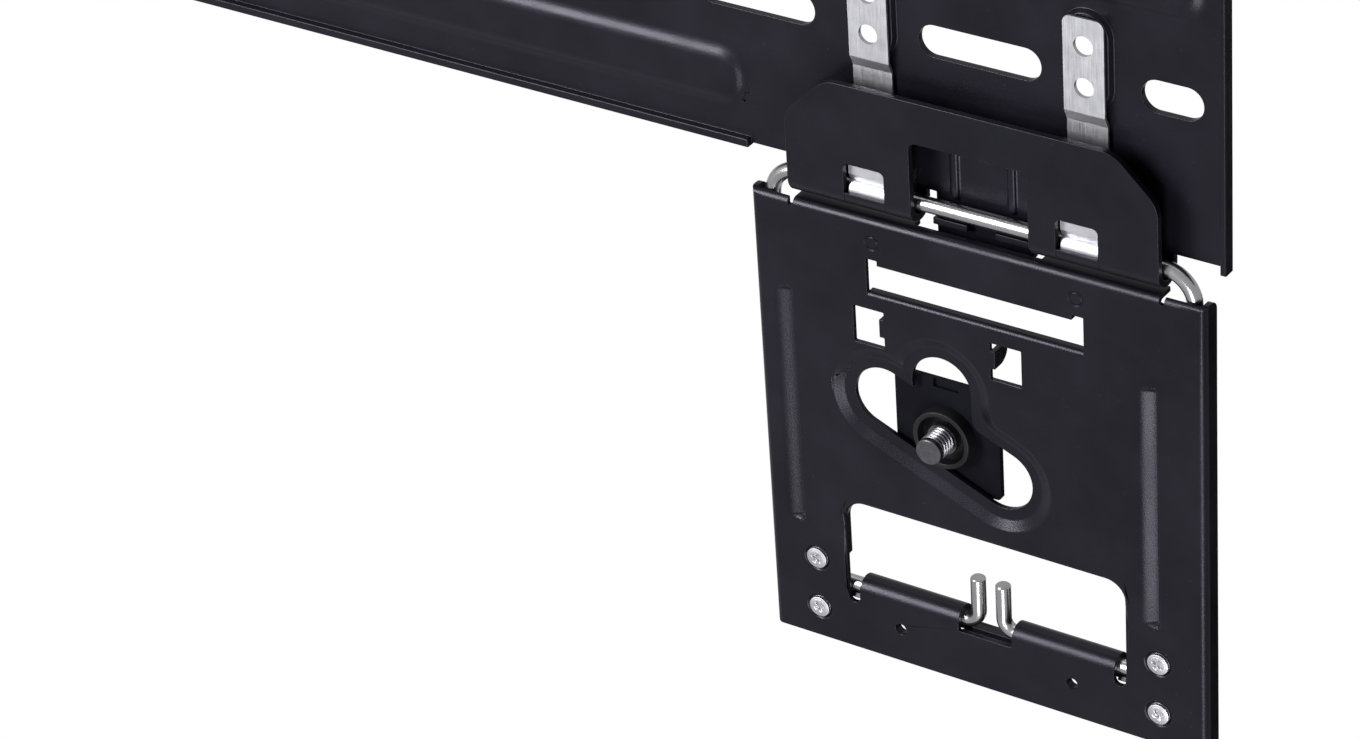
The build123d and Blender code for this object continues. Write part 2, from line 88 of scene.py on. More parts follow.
class Shader:
    """A material under construction: a few plain calls around Blender's node tree."""

    def __init__(self, name: str) -> None:
        """Starts a material with a Principled surface.

        Args:
            name: The material's name.
        """
        self.material = bpy.data.materials.new(name)
        self.material.use_nodes = True
        self.tree = self.material.node_tree
        self.surface = self.tree.nodes["Principled BSDF"]
        self.coords = self.tree.nodes.new("ShaderNodeTexCoord").outputs["Object"]

    def set(self, **values: object) -> None:
        """Sets sockets of the surface by name, with _ for a space."""
        for name, value in values.items():
            self.surface.inputs[name.replace("_", " ")].default_value = value

    def link(self, output: object, socket: object) -> None:
        """Joins an output to an input socket, or to one of the surface's by its name."""
        target = self.surface.inputs[socket] if isinstance(socket, str) else socket
        self.tree.links.new(output, target)

    def scaled(self, scale: tuple) -> object:
        """Object coordinates after a stretch.

        Args:
            scale: Factors along X, Y and Z.

        Returns:
            The mapped vector's output.
        """
        mapping = self.tree.nodes.new("ShaderNodeMapping")
        mapping.inputs["Scale"].default_value = scale
        self.tree.links.new(self.coords, mapping.inputs["Vector"])
        return mapping.outputs["Vector"]

    def noise(self, vector: object, scale: float, detail: float = 3.0, rough: float = 0.55) -> object:
        """A fractal noise value.

        Args:
            vector: Where it is read.
            scale: Cells to the metre.
            detail: Octaves.
            rough: How much the finer octaves count.

        Returns:
            The value's output.
        """
        node = self.tree.nodes.new("ShaderNodeTexNoise")
        node.inputs["Scale"].default_value = scale
        node.inputs["Detail"].default_value = detail
        node.inputs["Roughness"].default_value = rough
        self.tree.links.new(vector, node.inputs["Vector"])
        return node.outputs["Fac"]

    def remap(self, value: object, low: float, high: float, start: float = 0.0, end: float = 1.0) -> object:
        """A value moved from the range start..end to low..high.

        Args:
            value: The output that is moved.
            low: The result at start.
            high: The result at end.
            start: Where the source range starts.
            end: Where it ends.

        Returns:
            The moved value's output.
        """
        node = self.tree.nodes.new("ShaderNodeMapRange")
        for name, number in (("From Min", start), ("From Max", end), ("To Min", low), ("To Max", high)):
            node.inputs[name].default_value = number
        self.tree.links.new(value, node.inputs["Value"])
        return node.outputs["Result"]

    def roughen(self, value: object, low: float, high: float) -> None:
        """Sets the surface's roughness between two values by a noise.

        Args:
            value: The noise's output.
            low: The roughness at the noise's low end.
            high: The roughness at its high end.
        """
        self.link(self.remap(value, low, high, NOISE_LOW, NOISE_HIGH), "Roughness")

    def ramp(self, value: object, stops: list) -> object:
        """A colour looked up by a value.

        Args:
            value: The output that is looked up.
            stops: Pairs of place and linear colour.

        Returns:
            The colour's output.
        """
        node = self.tree.nodes.new("ShaderNodeValToRGB")
        elements = node.color_ramp.elements
        while len(elements) < len(stops):
            elements.new(0.5)
        for element, (place, colour) in zip(elements, stops):
            element.position = place
            element.color = (*colour, 1.0)
        self.tree.links.new(value, node.inputs["Fac"])
        return node.outputs["Color"]

    def mix(self, share: object, base: object, colour: tuple) -> object:
        """A colour with some of another laid over it.

        Args:
            share: How much of the second colour, 0 to 1.
            base: The first colour's output.
            colour: The second colour.

        Returns:
            The mixed colour's output.
        """
        node = self.tree.nodes.new("ShaderNodeMix")
        node.data_type = "RGBA"
        self.tree.links.new(share, node.inputs["Factor"])
        self.tree.links.new(base, node.inputs[6])
        node.inputs[7].default_value = (*colour, 1.0)
        return node.outputs[2]

    def bump(self, height: object, depth: float) -> object:
        """A normal tilted by a height.

        Args:
            height: The height's output, 0 to 1.
            depth: What a height of 1 stands for, in metres.

        Returns:
            The normal's output.
        """
        node = self.tree.nodes.new("ShaderNodeBump")
        node.inputs["Distance"].default_value = depth
        self.tree.links.new(height, node.inputs["Height"])
        return node.outputs["Normal"]


@dataclass(frozen=True)
class PowderCoat:
    """Black satin powder coat: a dark base with a fine pebbled grain, scuffed paler in small spots."""

    name: str = "black_coat"
    dark: tuple = (0.0016, 0.0015, 0.0026)
    light: tuple = (0.0028, 0.0026, 0.0044)
    worn: tuple = (0.03, 0.03, 0.036)
    gloss: float = 0.34
    specular: float = 0.12
    tint: tuple = (0.86, 0.84, 1.0, 1.0)
    grain_per_m: float = 2300.0
    grain_depth: float = 0.04 * MM
    cloud_per_m: float = 45.0
    scuffs_per_m: float = 700.0
    scuffs_from: float = 0.68
    scuffs_to: float = 0.82
    scuffs_most: float = 0.5

    def build(self) -> bpy.types.Material:
        """Makes the material.

        Returns:
            The material.
        """
        shader = Shader(self.name)
        pebble = shader.noise(shader.coords, self.grain_per_m, detail=2.0, rough=0.5)
        cloud = shader.noise(shader.coords, self.cloud_per_m)
        rub = shader.noise(shader.coords, self.scuffs_per_m, detail=4.0, rough=0.7)
        base = shader.ramp(cloud, [(NOISE_LOW, self.dark), (NOISE_HIGH, self.light)])
        scuffs = shader.remap(rub, 0.0, self.scuffs_most, self.scuffs_from, self.scuffs_to)
        shader.link(shader.mix(scuffs, base, self.worn), "Base Color")
        shader.roughen(cloud, self.gloss - 0.04, self.gloss + 0.05)
        shader.link(shader.bump(pebble, self.grain_depth), "Normal")
        shader.set(Specular_IOR_Level=self.specular, Specular_Tint=self.tint)
        return shader.material


@dataclass(frozen=True)
class Zinc:
    """Bright zinc plate, faintly drawn along the strip."""

    colour: tuple = (0.34, 0.34, 0.36)
    shade: tuple = (0.27, 0.27, 0.29)
    gloss: float = 0.42
    drawn_per_m: tuple = (3200.0, 3200.0, 120.0)
    drawn_depth: float = 0.012 * MM
    cloud_per_m: float = 180.0
    bright_from: float = 0.65

    def build(self) -> bpy.types.Material:
        """Makes the material.

        Returns:
            The material.
        """
        shader = Shader("bright_zinc")
        drawn = shader.noise(shader.scaled(self.drawn_per_m), 1.0, detail=4.0, rough=0.6)
        cloud = shader.noise(shader.coords, self.cloud_per_m, rough=0.6)
        stops = [(NOISE_LOW, self.shade), (self.bright_from, self.colour)]
        shader.link(shader.ramp(cloud, stops), "Base Color")
        shader.roughen(drawn, self.gloss - 0.06, self.gloss + 0.08)
        shader.link(shader.bump(drawn, self.drawn_depth), "Normal")
        shader.set(Metallic=1.0)
        return shader.material


@dataclass(frozen=True)
class DrawnWire:
    """Polished drawn steel wire."""

    colour: tuple = (0.27, 0.268, 0.28)
    shade: tuple = (0.235, 0.233, 0.245)
    gloss: float = 0.25
    cloud_per_m: float = 240.0
    cloud_depth: float = 0.002 * MM

    def build(self) -> bpy.types.Material:
        """Makes the material.

        Returns:
            The material.
        """
        shader = Shader("polished_wire")
        cloud = shader.noise(shader.coords, self.cloud_per_m, detail=4.0, rough=0.6)
        stops = [(NOISE_LOW, self.shade), (NOISE_HIGH, self.colour)]
        shader.link(shader.ramp(cloud, stops), "Base Color")
        shader.roughen(cloud, self.gloss - 0.015, self.gloss + 0.015)
        shader.link(shader.bump(cloud, self.cloud_depth), "Normal")
        shader.set(Metallic=1.0)
        return shader.material


@dataclass(frozen=True)
class Nylon:
    """Black moulded nylon with a faint mould texture."""

    colour: tuple = (0.0035, 0.0035, 0.0045)
    specular: float = 0.1
    grain_per_m: float = 3200.0
    grain_depth: float = 0.02 * MM

    def build(self) -> bpy.types.Material:
        """Makes the material.

        Returns:
            The material.
        """
        shader = Shader("black_nylon")
        grain = shader.noise(shader.coords, self.grain_per_m, detail=2.0, rough=0.5)
        shader.roughen(grain, 0.44, 0.56)
        shader.link(shader.bump(grain, self.grain_depth), "Normal")
        shader.set(Base_Color=(*self.colour, 1.0), Specular_IOR_Level=self.specular)
        return shader.material


@dataclass(frozen=True)
class DarkSteel:
    """Dark plated steel with an uneven polish."""

    colour: tuple = (0.075, 0.075, 0.083)
    cloud_per_m: float = 900.0
    cloud_depth: float = 0.01 * MM

    def build(self) -> bpy.types.Material:
        """Makes the material.

        Returns:
            The material.
        """
        shader = Shader("dark_steel")
        cloud = shader.noise(shader.coords, self.cloud_per_m, rough=0.6)
        shader.roughen(cloud, 0.24, 0.42)
        shader.link(shader.bump(cloud, self.cloud_depth), "Normal")
        shader.set(Base_Color=(*self.colour, 1.0), Metallic=1.0)
        return shader.material


@dataclass
class PhotoCamera:
    """The photograph's camera, from its calibrated place and angles."""

    place: tuple = (888.526 * MM, -947.267 * MM, 590.545 * MM)
    azimuth: float = math.radians(35.693)
    elevation: float = math.radians(31.625)
    roll: float = math.radians(4.189)
    focal_px: float = 4827.92
    width_px: float = 1360.0
    sensor_mm: float = 36.0
    farthest: float = 50.0

    def make(self) -> bpy.types.Object:
        """Makes the camera and sets it as the scene's.

        The camera looks along the azimuth, measured from +Y towards -X, and down by the elevation.
        The roll turns its right-hand and down axes in the picture plane.

        Returns:
            The camera object.
        """
        back = Vector((
            math.sin(self.azimuth) * math.cos(self.elevation),
            -math.cos(self.azimuth) * math.cos(self.elevation),
            math.sin(self.elevation),
        ))
        level = (-back).cross(Vector((0.0, 0.0, 1.0))).normalized()
        lower = (-back).cross(level)
        right = math.cos(self.roll) * level + math.sin(self.roll) * lower
        down = math.cos(self.roll) * lower - math.sin(self.roll) * level
        data = bpy.data.cameras.new("photo_camera")
        data.sensor_width = self.sensor_mm
        data.lens = self.sensor_mm * self.focal_px / self.width_px
        data.clip_end = self.farthest
        camera = bpy.data.objects.new("photo_camera", data)
        turn = Matrix((right, -down, back)).transposed().to_4x4()
        camera.matrix_world = Matrix.Translation(Vector(self.place)) @ turn
        bpy.context.scene.collection.objects.link(camera)
        bpy.context.scene.camera = camera
        return camera


@dataclass
class Studio:
    """A plain white floor and world, soft lamps, and flags: black cards for the metal to reflect.

    A lamp's line gives its name, the direction and distance of its place, its width and height, and
    its power. A flag's gives its name, the direction and distance of its place, and its side.
    """

    centre: tuple = (0.25, 0.0, -0.08)
    floor_drop: float = 3.0
    floor_half: float = 1.6
    pale: tuple = (0.8, 0.8, 0.8, 1.0)
    white: tuple = (1.0, 1.0, 1.0, 1.0)
    black: tuple = (0.004, 0.004, 0.005, 1.0)
    dull: float = 0.9
    lit_from: tuple = (-0.8, 0.0, 0.6)
    dim: float = 0.03
    dim_at: float = -0.35
    bright: float = 0.85
    bright_at: float = 0.7
    lamps: tuple = (
        ("key", (-0.5, -0.78, 0.40), 1.5, (0.4, 0.9), 70.0),
        ("low_right", (0.40, -0.85, -0.34), 1.3, (0.34, 0.9), 24.0),
        ("top", (0.0, 0.2, 1.0), 1.6, (1.6, 0.8), 9.0),
    )
    flags: tuple = (
        ("flag_low", (-0.36, 0.30, -0.88), 0.9, 0.7),
        ("flag_right", (0.50, 0.69, -0.52), 0.9, 0.6),
    )

    def _square(self, name: str, half: float, height: float = 0.0) -> bpy.types.Object:
        """Makes a level square about the Z axis.

        Args:
            name: Its name.
            half: Half the length of its sides.
            height: Its Z.

        Returns:
            The square's object.
        """
        ways = [(-1, -1), (1, -1), (1, 1), (-1, 1)]
        corners = [(half * across, half * back, height) for across, back in ways]
        mesh = bpy.data.meshes.new(name)
        mesh.from_pydata(corners, [], [(0, 1, 2, 3)])
        square = bpy.data.objects.new(name, mesh)
        bpy.context.scene.collection.objects.link(square)
        return square

    def floor(self) -> None:
        """Lays a wide pale floor that shows as white."""
        floor = self._square("studio_floor", self.floor_half, cad_box[0][2] - self.floor_drop)
        floor.data.materials.append(self._white("floor_white"))

    def _shown(self, tree: bpy.types.NodeTree) -> object:
        """Says of a ray whether it shows the background: from the camera, off gloss or through glass."""
        path = tree.nodes.new("ShaderNodeLightPath")
        either = tree.nodes.new("ShaderNodeMath")
        either.operation = "MAXIMUM"
        tree.links.new(path.outputs["Is Camera Ray"], either.inputs[0])
        tree.links.new(path.outputs["Is Glossy Ray"], either.inputs[1])
        every = tree.nodes.new("ShaderNodeMath")
        every.operation = "MAXIMUM"
        tree.links.new(either.outputs[0], every.inputs[0])
        tree.links.new(path.outputs["Is Transmission Ray"], every.inputs[1])
        return every.outputs[0]

    def _place(self, way: tuple, distance: float) -> tuple:
        """A point in a direction and at a distance from the studio's centre."""
        return tuple(c + distance * w for c, w in zip(self.centre, way))

    def flag(self, name: str, place: tuple, side: float) -> None:
        """Hangs one flag, a black card that the camera doesn't see, facing the studio's centre.

        Args:
            name: The flag's name.
            place: Where it hangs.
            side: The length of its sides.
        """
        card = self._square(name, side / 2)
        card.location = place
        card.rotation_euler = (Vector(self.centre) - Vector(place)).to_track_quat("Z", "Y").to_euler()
        card.visible_camera = False
        shader = Shader(name)
        shader.set(Base_Color=self.black, Roughness=self.dull, Specular_IOR_Level=0.0)
        card.data.materials.append(shader.material)

    def _white(self, name: str) -> bpy.types.Material:
        """A pale surface that shows as plain white."""
        material = bpy.data.materials.new(name)
        material.use_nodes = True
        tree = material.node_tree
        pale = tree.nodes["Principled BSDF"]
        pale.inputs["Base Color"].default_value = self.pale
        pale.inputs["Roughness"].default_value = self.dull
        glow = tree.nodes.new("ShaderNodeEmission")
        mix = tree.nodes.new("ShaderNodeMixShader")
        tree.links.new(self._shown(tree), mix.inputs["Fac"])
        tree.links.new(pale.outputs[0], mix.inputs[1])
        tree.links.new(glow.outputs[0], mix.inputs[2])
        tree.links.new(mix.outputs[0], tree.nodes["Material Output"].inputs["Surface"])
        return material

    def world(self) -> None:
        """Lights the part softly, more from one side, and shows white behind it and in its gloss.

        The strength of the soft light rises from dim to bright with the dot product of the direction
        and the side that the light comes from.
        """
        world = bpy.data.worlds.new("studio")
        bpy.context.scene.world = world
        world.use_nodes = True
        tree = world.node_tree
        base = tree.nodes["Background"]
        base.inputs["Color"].default_value = self.white
        seen = tree.nodes.new("ShaderNodeBackground")
        seen.inputs["Color"].default_value = self.white
        mix = tree.nodes.new("ShaderNodeMixShader")
        tree.links.new(self._shown(tree), mix.inputs["Fac"])
        tree.links.new(base.outputs[0], mix.inputs[1])
        tree.links.new(seen.outputs[0], mix.inputs[2])
        tree.links.new(mix.outputs[0], tree.nodes["World Output"].inputs["Surface"])
        way = tree.nodes.new("ShaderNodeTexCoord").outputs["Generated"]
        along = tree.nodes.new("ShaderNodeVectorMath")
        along.operation = "DOT_PRODUCT"
        along.inputs[1].default_value = self.lit_from
        tree.links.new(way, along.inputs[0])
        fade = tree.nodes.new("ShaderNodeMapRange")
        tree.links.new(along.outputs["Value"], fade.inputs["Value"])
        ends = {"From Min": self.dim_at, "From Max": self.bright_at}
        ends |= {"To Min": self.dim, "To Max": self.bright}
        for name, number in ends.items():
            fade.inputs[name].default_value = number
        tree.links.new(fade.outputs["Result"], base.inputs["Strength"])

    def lamp(self, name: str, place: tuple, size: tuple, watts: float) -> None:
        """Hangs one rectangular softbox, facing the studio's centre.

        Args:
            name: The lamp's name.
            place: Where it hangs.
            size: Its width and height.
            watts: Its power.
        """
        data = bpy.data.lights.new(name, "AREA")
        data.shape = "RECTANGLE"
        data.size, data.size_y = size
        data.energy = watts
        lamp = bpy.data.objects.new(name, data)
        lamp.location = place
        lamp.rotation_euler = (Vector(self.centre) - Vector(place)).to_track_quat("-Z", "Y").to_euler()
        bpy.context.scene.collection.objects.link(lamp)

    def make(self) -> None:
        """Builds the whole studio."""
        self.world()
        self.floor()
        for name, way, distance, size, watts in self.lamps:
            self.lamp(name, self._place(way, distance), size, watts)
        for name, way, distance, side in self.flags:
            self.flag(name, self._place(way, distance), side)


def merged_copy(node: str, close: float = 2e-6) -> bmesh.types.BMesh:
    """Copies a node's mesh with its loose triangles joined and each flat made one face.

    Args:
        node: The node's name.
        close: How near two points are to be joined.

    Returns:
        The copy, open for editing.
    """
    mesh = frame["nodes"][node].data.copy()
    if mesh.attributes.get("custom_normal") is not None:
        mesh.attributes.remove(mesh.attributes["custom_normal"])
    body = bmesh.new()
    body.from_mesh(mesh)
    bpy.data.meshes.remove(mesh)
    bmesh.ops.remove_doubles(body, verts=body.verts, dist=close)
    bmesh.ops.dissolve_degenerate(body, edges=body.edges, dist=close)
    bmesh.ops.dissolve_limit(body, angle_limit=SAME_PLANE, verts=body.verts, edges=body.edges)
    return body


def cut_front(body: bmesh.types.BMesh, y: float) -> None:
    """Cuts off what lies in front of a Y, and closes the cut.

    Args:
        body: What is cut.
        y: Where the cut goes.
    """
    geometry = body.verts[:] + body.edges[:] + body.faces[:]
    cut = bmesh.ops.bisect_plane(
        body, geom=geometry, plane_co=(0.0, y, 0.0), plane_no=(0.0, 1.0, 0.0), dist=1e-7, clear_inner=True
    )
    ring = [e for e in cut["geom_cut"] if isinstance(e, bmesh.types.BMEdge)]
    bmesh.ops.holes_fill(body, edges=ring)


def add_grid(
    body: bmesh.types.BMesh, points: np.ndarray, closed: bool = False, out: bool = True
) -> None:
    """Adds a surface that is given as rows and columns of points.

    Args:
        body: Where it is added.
        points: Rows, columns and X, Y and Z, in metres.
        closed: Whether each row closes into a ring, and the first and last rows are filled.
        out: Whether the faces turn to the side of rows crossed with columns.
    """
    rows, columns = points.shape[:2]
    wide = columns if closed else columns - 1
    left = (np.arange(rows - 1)[:, None] * columns + np.arange(wide)).ravel()
    right = (np.arange(rows - 1)[:, None] * columns + (np.arange(wide) + 1) % columns).ravel()
    quads = np.stack([left, left + columns, right + columns, right], axis=-1)
    faces = (quads if out else quads[:, ::-1]).tolist()
    if closed:
        caps = [list(range(columns)), list(range((rows - 1) * columns, rows * columns))[::-1]]
        faces += caps if out else [cap[::-1] for cap in caps]
    mesh = bpy.data.meshes.new("grid")
    mesh.from_pydata(points.reshape(-1, 3).tolist(), [], faces)
    mesh.update()
    body.from_mesh(mesh)
    bpy.data.meshes.remove(mesh)


def finish_piece(
    body: bmesh.types.BMesh, node: str, rider: str, coat: bpy.types.Material, sharp: float
) -> bpy.types.Object:
    """Turns an edited copy into the piece that stands for its node.

    Args:
        body: The edited copy, which is closed.
        node: The node that it replaces.
        rider: The body that it moves with.
        coat: Its material.
        sharp: Edges that bend more than this stay sharp.

    Returns:
        The piece.
    """
    for face in body.faces:
        face.smooth = True
        face.material_index = 0
    for edge in body.edges:
        edge.smooth = len(edge.link_faces) != 2 or edge.calc_face_angle(0.0) < sharp
    mesh = bpy.data.meshes.new(f"{node}_piece")
    body.to_mesh(mesh)
    body.free()
    mesh.materials.clear()
    mesh.materials.append(coat)
    piece = bpy.data.objects.new(f"{node}_piece", mesh)
    bpy.context.scene.collection.objects.link(piece)
    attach(piece, rider)
    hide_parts(node)
    log.info("made %s with %d faces", piece.name, len(mesh.polygons))
    return piece


@dataclass(frozen=True)
class Datum:
    """Where a hanging bracket's own measures start in the frame."""

    side: Side
    pitch: float = 624.0 * MM
    stand_off: float = 9.45 * MM
    drop: float = 114.85 * MM

    def x(self, across: np.ndarray) -> np.ndarray:
        """X of a distance outwards from the bracket's middle."""
        return self.side.value * (self.pitch / 2 + across)

    def y(self, depth: np.ndarray) -> np.ndarray:
        """Y of a depth behind the hanging plate's front."""
        return depth - self.stand_off

    def z(self, up: np.ndarray) -> np.ndarray:
        """Z of a height above the bracket's datum."""
        return up - self.drop

    def points(self, across: np.ndarray, depth: np.ndarray, up: np.ndarray) -> np.ndarray:
        """Points in the frame from the bracket's own measures."""
        parts = np.broadcast_arrays(self.x(across), self.y(depth), self.z(up))
        return np.stack(parts, axis=-1)


def never(edge: bmesh.types.BMEdge) -> bool:
    """Says no of every edge."""
    return False


@dataclass
class SheetEdges:
    """How the edges of a stamping are rounded: fine at cuts, wide at presses and drawn rims.

    A face's level is the size of its normal's Y: 1 on the sheet's flats, 0 on its cut edges.
    """

    widest: float = 1.5 * MM
    press: float = 1.35 * MM
    tight: float = 0.5 * MM
    steep: float = 0.405 * MM
    rim: float = 1.4 * MM
    cut: float = 0.2 * MM
    steps: int = 3
    rim_turn: float = 1.0
    cut_turn: float = 0.95
    flat_level: float = 0.9995
    slope_level: tuple = (0.85, 0.97)
    steep_level: tuple = (0.4, 0.85)

    def weigh(
        self,
        body: bmesh.types.BMesh,
        is_rim: Callable = never,
        is_tight: Callable = never,
        is_left: Callable = never,
    ) -> None:
        """Writes each edge's share of the widest round.

        Args:
            body: The stamping.
            is_rim: Says of an edge whether it is a drawn rim.
            is_tight: Says of an edge whether its press is a tight one.
            is_left: Says of an edge whether it is left as it is.
        """
        name = "bevel_weight_edge"
        layer = body.edges.layers.float.get(name) or body.edges.layers.float.new(name)
        for edge in body.edges:
            if len(edge.link_faces) != 2 or is_left(edge):
                continue
            turn = edge.calc_face_angle(0.0)
            level, tilt = sorted((abs(face.normal.y) for face in edge.link_faces), reverse=True)
            if turn > self.rim_turn and is_rim(edge):
                edge[layer] = self.rim / self.widest
            elif turn > self.cut_turn:
                edge[layer] = self.cut / self.widest
            elif level > self.flat_level and self.slope_level[0] < tilt < self.slope_level[1]:
                edge[layer] = (self.tight if is_tight(edge) else self.press) / self.widest
            elif level > self.flat_level and self.steep_level[0] < tilt <= self.steep_level[1]:
                edge[layer] = self.steep / self.widest

    def round(self, piece: bpy.types.Object) -> None:
        """Rounds a piece's weighed edges."""
        bevel = piece.modifiers.new("edge_round", "BEVEL")
        bevel.width = self.widest
        bevel.segments = self.steps
        bevel.limit_method = "WEIGHT"
        bevel.use_clamp_overlap = False
        bevel.harden_normals = True
        bevel.miter_outer = "MITER_ARC"


@dataclass
class BentStrip:
    """A strip of sheet bent about an axis along X, as a closed ring of points carried along it."""

    inner: float
    outer: float
    start: float
    end: float
    steps: int = 24

    def ring(self) -> tuple[np.ndarray, np.ndarray]:
        """The strip's section: the outer arc and back along the inner one.

        Depth is r sin(t) and height r cos(t), with t turned from straight up towards the back.

        Returns:
            Depths and heights from the axis.
        """
        turn = np.radians(np.linspace(self.start, self.end, self.steps))
        depth = np.concatenate([self.outer * np.sin(turn), self.inner * np.sin(turn[::-1])])
        height = np.concatenate([self.outer * np.cos(turn), self.inner * np.cos(turn[::-1])])
        return depth, height

    def add(self, body: bmesh.types.BMesh, x: tuple, y: float, z: float) -> None:
        """Adds the strip between two X, about an axis at Y and Z."""
        depth, height = self.ring()
        rows = np.linspace(x[0], x[1], 3)[:, None]
        grid = np.stack(np.broadcast_arrays(rows, y + depth[None, :], z + height[None, :]), axis=-1)
        strip = bmesh.new()
        add_grid(strip, grid, closed=True)
        bmesh.ops.recalc_face_normals(strip, faces=strip.faces)
        mesh = bpy.data.meshes.new("strip")
        strip.to_mesh(mesh)
        strip.free()
        body.from_mesh(mesh)
        bpy.data.meshes.remove(mesh)


@dataclass
class WallPlate:
    """The wall plate, with its presses softened and its cut edges broken."""

    coat: bpy.types.Material
    strap_x: tuple = (-344.4 * MM, -279.6 * MM, 279.6 * MM, 344.4 * MM)
    window: float = 12.58 * MM
    hem_y: float = -5.13 * MM
    hem_z: float = -47.85 * MM
    hem: BentStrip = field(default_factory=lambda: BentStrip(3.75 * MM, 5.1 * MM, 95.0, 272.0))
    edges: SheetEdges = field(default_factory=SheetEdges)

    def build(self) -> bpy.types.Object:
        """Makes the plate.

        Returns:
            The piece.
        """
        body = merged_copy("wall_plate")
        for middle in self.strap_x:
            x = (middle - self.window / 2, middle + self.window / 2)
            self.hem.add(body, x, self.hem_y, self.hem_z)
        self.edges.weigh(body)
        piece = finish_piece(body, "wall_plate", "wall", self.coat, SHEET_SHARP)
        self.edges.round(piece)
        return piece


